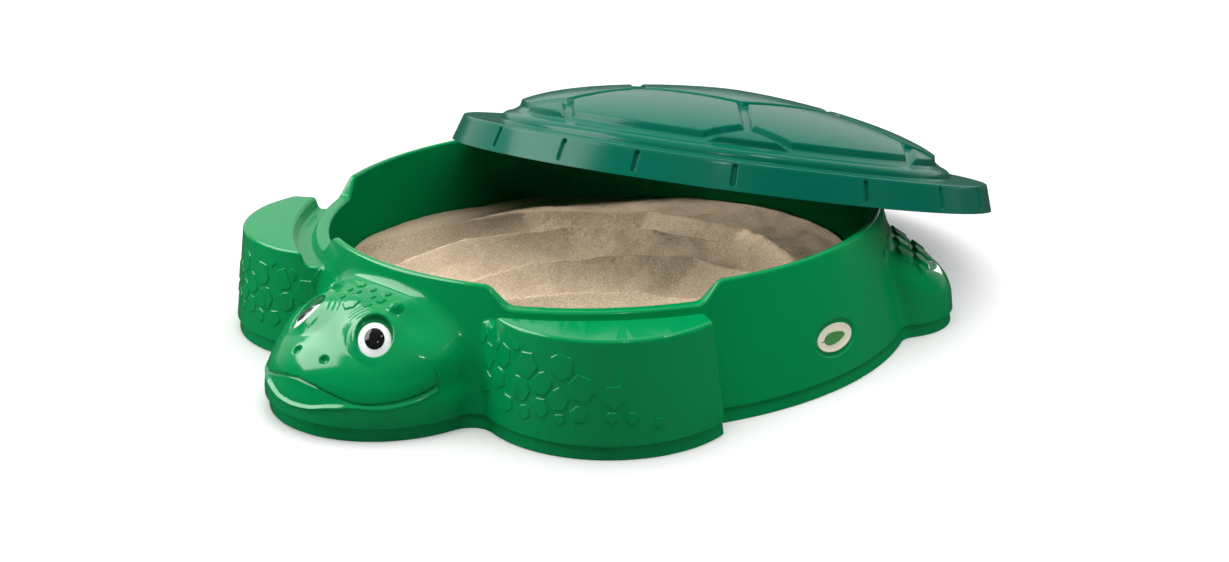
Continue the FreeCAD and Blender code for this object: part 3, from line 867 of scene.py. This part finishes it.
def dome_outline(radius, low, rise, steps=16, inner=0.0):
    """Points of a shallow cap, from its middle (or an inner radius) out to its edge."""
    ball = (radius ** 2 + rise ** 2) / (2.0 * rise)
    outline = []
    for step in range(steps + 1):
        r = inner + (radius - inner) * sin(step / steps * pi / 2.0)
        outline.append((max(r, 0.0004), low + rise - ball + sqrt(ball ** 2 - r ** 2)))
    return outline


def make_eye(side, name):
    """A domed white with a stem behind it and a hollow for the pupil, and the pupil in it."""
    flip = np.array([side, 1.0, 1.0])
    normal, up = EYE_NORMAL * flip, EYE_UP * flip
    axes = np.array([np.cross(up, normal), up, normal]).tolist()
    origin = EYE_FLOOR * flip
    white = [(0.0004, 0.005), (0.0130, 0.005), (0.0136, 0.0053), (0.0139, 0.0060)]
    white += [(0.0139, 0.00700), (0.0142, 0.00765)]
    white += dome_outline(EYE_RADIUS, EYE_EDGE + 0.0006, 0.0056, 14, inner=0.0151)
    white += [(EYE_RADIUS + 0.0002, 0.0020), (EYE_RADIUS, 0.0012), (EYE_RADIUS - 0.0005, 0.0005)]
    white += [(EYE_RADIUS - 0.0014, 0.0001), (0.0062, 0.0001), (0.0060, -0.0005), (0.0060, -0.012)]
    white += [(0.0052, -0.013), (0.0004, -0.013)]
    eye = lathe("eye_button_" + name, white, origin, axes)
    register(eye, TUB, EYE_WHITE, "eye_white_" + name)
    pupil = dome_outline(PUPIL_RADIUS, 0.0074, 0.0036, 14)
    pupil += [(0.01365, 0.0070), (0.0136, 0.0060), (0.0131, 0.0052), (0.0004, 0.0051)]
    black = lathe("eye_dome_" + name, pupil, origin, axes)
    register(black, TUB, EYE_BLACK, "eye_pupil_" + name)


def badge_plate_field(p):
    """The badge's own plate: oval, with a thin raised rim and rounded edges."""
    up, along, out = badge_place(p)
    out = out + BADGE_RECESS
    side = ellipse_distance(up, along, BADGE_HALF_WIDTH, BADGE_HALF_LENGTH)
    dish = 0.0006 * (1.0 - smooth_step(side, -0.0036, -0.0026))
    return meet(meet(side, out - BADGE_THICKNESS + dish, 0.0005), -out, 0.0003)


def badge_leaf_field(p):
    """A plain leaf with a groove for its midrib and a short stalk, standing on the plate."""
    up, along, out = badge_place(p)
    out = out + BADGE_RECESS - BADGE_THICKNESS + 0.0006
    half = 0.0085 * np.sqrt(np.clip(1.0 - (along / 0.024) ** 2, 0.0, 1.0)) * (1.0 - 12.0 * along)
    blade = (np.hypot(up, np.maximum(np.abs(along) - 0.024, 0.0)) - half) * 0.8
    stalk = np.hypot(up, np.maximum(np.abs(along + 0.026) - 0.005, 0.0)) - 0.0011
    vein = 0.0005 * hump(up, 0.0008)
    for side_vein in (-0.012, -0.004, 0.004, 0.012):
        vein = np.maximum(vein, 0.0004 * hump(along - side_vein - 0.7 * np.abs(up), 0.0007))
    return meet(meet(np.minimum(blade, stalk), out - 0.0009 + vein, 0.0003), -out - 0.0004, 0.0001)


def make_badge():
    low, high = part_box("badge")
    middle = np.array((low + high) / 2.0)
    reach = np.array([0.014, 0.046, 0.028])
    for name, field, look, node in (("oval_badge", badge_plate_field, BADGE_PLATE, "badge"),
                                    ("badge_leaf", badge_leaf_field, BADGE_LEAF, None)):
        piece = field_object(name, field, middle - reach, middle + reach, 0.0009, 0.00003, 0.0004, 1)
        register(piece, TUB, look, node)


# ======== materials
def material(name):
    """A node material, its tree and its shader; the caller sets or links the shader's sockets."""
    made = bpy.data.materials.new(name)
    made.use_nodes = True
    return made, made.node_tree, made.node_tree.nodes["Principled BSDF"]


def set_inputs(node, **values):
    """Sets sockets by name, with _ for each space in the name."""
    for name, value in values.items():
        node.inputs[name.replace("_", " ")].default_value = value


def object_noise(tree, scale, detail=3.0):
    """Noise in the piece's own coordinates, so that it rides with the piece."""
    place = tree.nodes.new("ShaderNodeTexCoord")
    noise = tree.nodes.new("ShaderNodeTexNoise")
    set_inputs(noise, Scale=scale, Detail=detail)
    tree.links.new(place.outputs["Object"], noise.inputs["Vector"])
    return noise.outputs["Fac"]


def spread(tree, source, low, high, start=0.3, end=0.7):
    """Maps the range start to end onto low to high; returns the node."""
    scale = tree.nodes.new("ShaderNodeMapRange")
    set_inputs(scale, From_Min=start, From_Max=end, To_Min=low, To_Max=high)
    tree.links.new(source, scale.inputs["Value"])
    return scale


def mix_colours(tree, factor, a, b):
    mix = tree.nodes.new("ShaderNodeMix")
    mix.data_type = "RGBA"
    set_inputs(mix, A=(*a, 1.0), B=(*b, 1.0))
    tree.links.new(factor, mix.inputs["Factor"])
    return mix.outputs["Result"]


def bump(tree, heights, shader):
    """Stacks (height source, distance) pairs into the shader's normal."""
    normal = None
    for source, distance in heights:
        made = tree.nodes.new("ShaderNodeBump")
        set_inputs(made, Strength=1.0, Distance=distance)
        tree.links.new(source, made.inputs["Height"])
        if normal is not None:
            tree.links.new(normal, made.inputs["Normal"])
        normal = made.outputs["Normal"]
    tree.links.new(normal, shader.inputs["Normal"])


def moulded_plastic(name, colour, tint, low_rough, high_rough, wave, grain):
    """Moulded polyethylene: an even colour with a faint drift, a soft wave and a fine grain."""
    made, tree, shader = material(name)
    drift = object_noise(tree, 6.0)
    tree.links.new(mix_colours(tree, drift, colour, tint), shader.inputs["Base Color"])
    patches = object_noise(tree, 28.0)
    roughness = spread(tree, patches, low_rough, high_rough)
    tree.links.new(roughness.outputs["Result"], shader.inputs["Roughness"])
    bump(tree, [(object_noise(tree, 22.0, 1.0), wave), (object_noise(tree, 900.0, 2.0), grain)], shader)
    set_inputs(shader, IOR=1.51, Subsurface_Weight=0.06, Subsurface_Radius=(0.004, 0.008, 0.004))
    return made


def sand_material():
    """Dry sand: single grains of different tones in soft lighter and darker patches."""
    made, tree, shader = material("dry_sand")
    place = tree.nodes.new("ShaderNodeTexCoord")
    grains = tree.nodes.new("ShaderNodeTexVoronoi")
    set_inputs(grains, Scale=750.0)
    tree.links.new(place.outputs["Object"], grains.inputs["Vector"])
    tone = tree.nodes.new("ShaderNodeSeparateColor")
    tree.links.new(grains.outputs["Color"], tone.inputs["Color"])
    near = mix_colours(tree, tone.outputs["Red"], (0.48, 0.345, 0.225), (0.82, 0.66, 0.485))
    patches = object_noise(tree, 9.0)
    warm = tree.nodes.new("ShaderNodeMix")
    warm.data_type = "RGBA"
    warm.blend_type = "MULTIPLY"
    set_inputs(warm, Factor=1.0)
    tree.links.new(near, warm.inputs["A"])
    tree.links.new(mix_colours(tree, patches, (0.90, 0.88, 0.85), (1.0, 1.0, 1.0)), warm.inputs["B"])
    tree.links.new(warm.outputs["Result"], shader.inputs["Base Color"])
    set_inputs(shader, Roughness=0.95, Specular_IOR_Level=0.2)
    bump(tree, [(object_noise(tree, 120.0), 0.0012), (grains.outputs["Distance"], 0.0009)], shader)
    return made


TUB_PLASTIC = moulded_plastic("tub_polyethylene", (0.0005, 0.245, 0.072), (0.0005, 0.225, 0.064),
                              0.11, 0.15, 0.00008, 0.00001)
COVER_PLASTIC = moulded_plastic("cover_polyethylene", (0.0010, 0.112, 0.070), (0.0012, 0.126, 0.079),
                                0.15, 0.20, 0.00006, 0.000015)
EYE_WHITE = moulded_plastic("eye_white_plastic", (0.84, 0.84, 0.86), (0.80, 0.80, 0.83),
                            0.16, 0.22, 0.0001, 0.00001)
EYE_BLACK = moulded_plastic("eye_black_plastic", (0.006, 0.006, 0.007), (0.010, 0.010, 0.012),
                            0.05, 0.08, 0.00005, 0.00001)
BADGE_PLATE = moulded_plastic("badge_cream", (0.80, 0.76, 0.62), (0.74, 0.70, 0.56),
                              0.28, 0.36, 0.00005, 0.00001)
BADGE_LEAF = moulded_plastic("badge_leaf_green", (0.05, 0.22, 0.06), (0.07, 0.27, 0.07),
                             0.28, 0.36, 0.00005, 0.00001)
SAND = sand_material()


# ======== build
TUB_STEP = 0.0045
TUB_TOLERANCE, TUB_SHORTEST, TUB_ROUNDS = 0.00005, 0.0012, 3
COVER_TOLERANCE, COVER_ROUNDS = 0.00010, 3

tub_low, tub_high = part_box("tub")
margin = 3.0 * TUB_STEP
tub = field_object("turtle_tub", tub_field, [c - margin for c in tub_low], [c + margin for c in tub_high],
                   TUB_STEP, TUB_TOLERANCE, TUB_SHORTEST, TUB_ROUNDS)
register(tub, TUB, TUB_PLASTIC, "tub")
cover = make_cover()
sand = make_sand()
make_eye(1.0, "right")
make_eye(-1.0, "left")
make_badge()


# ======== studio
CAMERA_AZIMUTH, CAMERA_ELEVATION = radians(41.6), radians(19.5)
CAMERA_DISTANCE = 2.88
CAMERA_LENS = 57.5
CAMERA_TARGET = Vector((0.200, -0.199, 0.150))
WORLD_FRONT, WORLD_BACK = 0.025, 0.60
FLOOR_REACH = 30.0
EYE_GLINTS = ("glint_high", (0.79, 0.47, 1.93)), ("glint_low", (1.24, -0.79, 1.97))


def grey(value):
    return value, value, value


def area_light(name, location, target, size, power, glossy=True, diffuse=True):
    light = bpy.data.lights.new(name, "AREA")
    light.shape = "RECTANGLE"
    light.size, light.size_y = size
    light.energy = power
    lamp = add_object(name, light)
    lamp.location = location
    lamp.rotation_euler = (Vector(target) - Vector(location)).to_track_quat("-Z", "Y").to_euler()
    lamp.visible_glossy = glossy
    lamp.visible_diffuse = diffuse
    return lamp


def limit_lamp(lamp, lit, blockers=None):
    """Restricts a lamp to the pieces it lights and, if given, to those that throw shadows in it."""
    for role, things in (("receiver_collection", lit), ("blocker_collection", blockers)):
        if things:
            chosen = bpy.data.collections.new(lamp.name + "_" + role)
            for thing in things:
                chosen.objects.link(thing)
            setattr(lamp.light_linking, role, chosen)


def make_world():
    """White for the camera; for light and reflections, bright behind the object and dim in front."""
    world = bpy.data.worlds.new("studio")
    world.use_nodes = True
    tree = world.node_tree
    back = tree.nodes["Background"]
    seen = tree.nodes.new("ShaderNodeBackground")
    set_inputs(seen, Color=(1.0, 1.0, 1.0, 1.0), Strength=1.0)
    place = tree.nodes.new("ShaderNodeTexCoord")
    facing = tree.nodes.new("ShaderNodeVectorMath")
    facing.operation = "DOT_PRODUCT"
    facing.inputs[1].default_value = (-sin(CAMERA_AZIMUTH), cos(CAMERA_AZIMUTH), 0.0)
    tree.links.new(place.outputs["Generated"], facing.inputs[0])
    strength = spread(tree, facing.outputs["Value"], WORLD_FRONT, WORLD_BACK, 0.20, 0.90)
    strength.interpolation_type = "SMOOTHSTEP"
    tree.links.new(strength.outputs["Result"], back.inputs["Strength"])
    set_inputs(back, Color=(1.0, 1.0, 1.0, 1.0))
    path = tree.nodes.new("ShaderNodeLightPath")
    choose = tree.nodes.new("ShaderNodeMixShader")
    tree.links.new(path.outputs["Is Camera Ray"], choose.inputs["Fac"])
    tree.links.new(back.outputs["Background"], choose.inputs[1])
    tree.links.new(seen.outputs["Background"], choose.inputs[2])
    tree.links.new(choose.outputs["Shader"], tree.nodes["World Output"].inputs["Surface"])
    bpy.context.scene.world = world


def make_floor():
    """Near white for the camera, greyer for bounced light and nearly black in reflections."""
    mesh = bpy.data.meshes.new("studio_floor")
    corners = [(x * FLOOR_REACH, y * FLOOR_REACH, 0) for x, y in ((-1, -1), (1, -1), (1, 1), (-1, 1))]
    mesh.from_pydata(corners, [], [(0, 1, 2, 3)])
    floor = add_object("studio_floor", mesh)
    paint, tree, shader = material("pale_floor")
    path = tree.nodes.new("ShaderNodeLightPath")
    bounced = mix_colours(tree, path.outputs["Is Glossy Ray"], grey(0.60), grey(0.035))
    seen = tree.nodes.new("ShaderNodeMix")
    seen.data_type = "RGBA"
    set_inputs(seen, B=(*grey(0.92), 1.0))
    tree.links.new(path.outputs["Is Camera Ray"], seen.inputs["Factor"])
    tree.links.new(bounced, seen.inputs["A"])
    tree.links.new(seen.outputs["Result"], shader.inputs["Base Color"])
    set_inputs(shader, Roughness=0.9, Specular_IOR_Level=0.0)
    mesh.materials.append(paint)
    return floor


def make_studio():
    """Every lamp lights only what it is meant for: the moulded pieces, the cover, the sand or the floor."""
    make_world()
    floor = make_floor()
    moulded = [thing for thing in bpy.data.objects if thing.type == "MESH" and thing not in (floor, sand)]
    tub_side = [thing for thing in moulded if thing != cover]

    above, middle = (0.0, 0.0, 4.5), (0.0, 0.0, 0.0)
    from_left, forehead = (-1.54, -1.15, 1.85), (0.0, -0.55, 0.12)
    tub_sheen = area_light("tub_sheen", from_left, forehead, (2.0, 1.7), 58.0, diffuse=False)
    cover_sheen = area_light("cover_sheen", from_left, forehead, (2.0, 1.7), 26.0, diffuse=False)
    sky = area_light("sky", above, middle, (6.0, 6.0), 430.0, glossy=False)
    key = area_light("key", (-2.2, -2.3, 1.8), (0.0, -0.2, 0.1), (1.6, 1.6), 80.0, glossy=False)
    rim = area_light("rim", (2.6, 1.4, 1.3), (0.2, 0.2, 0.1), (0.8, 0.8), 16.0, glossy=False)
    sand_sky = area_light("sand_sky", above, middle, (6.0, 6.0), 270.0, glossy=False)
    sand_key = area_light("sand_key", (-2.4, -1.1, 1.35), middle, (0.5, 0.5), 120.0, glossy=False)
    floor_sun = add_object("floor_sun", bpy.data.lights.new("floor_sun", "SUN"))
    floor_sun.data.energy = 4.1
    floor_sun.data.angle = radians(110.0)
    floor_sun.visible_glossy = False
    foot_glint = area_light("foot_glint", (-0.36, 3.1, 0.45), (0.39, 0.28, 0.1), (1.0, 0.5), 30.0,
                            diffuse=False)
    for lamp, lit in ((tub_sheen, tub_side), (cover_sheen, [cover]), (sky, moulded), (key, moulded),
                      (rim, moulded), (sand_sky, [sand])):
        limit_lamp(lamp, lit)
    for lamp, lit in ((sand_key, [sand]), (floor_sun, [floor]), (foot_glint, tub_side)):
        limit_lamp(lamp, lit, blockers=[tub, sand])
    sand.visible_glossy = False
    for name, place in EYE_GLINTS:
        area_light(name, place, EYE_CENTRE, (0.10, 0.10), 1.2, diffuse=False)


def make_camera():
    camera = bpy.data.cameras.new("camera")
    camera.lens = CAMERA_LENS
    camera.sensor_width = 36.0
    holder = add_object("camera", camera)
    level = cos(CAMERA_ELEVATION)
    back = Vector((sin(CAMERA_AZIMUTH) * level, -cos(CAMERA_AZIMUTH) * level,
                   sin(CAMERA_ELEVATION)))
    holder.location = CAMERA_TARGET + back * CAMERA_DISTANCE
    holder.rotation_euler = back.to_track_quat("Z", "Y").to_euler()
    bpy.context.scene.camera = holder


make_studio()
make_camera()
bpy.context.scene.view_settings.view_transform = "Standard"
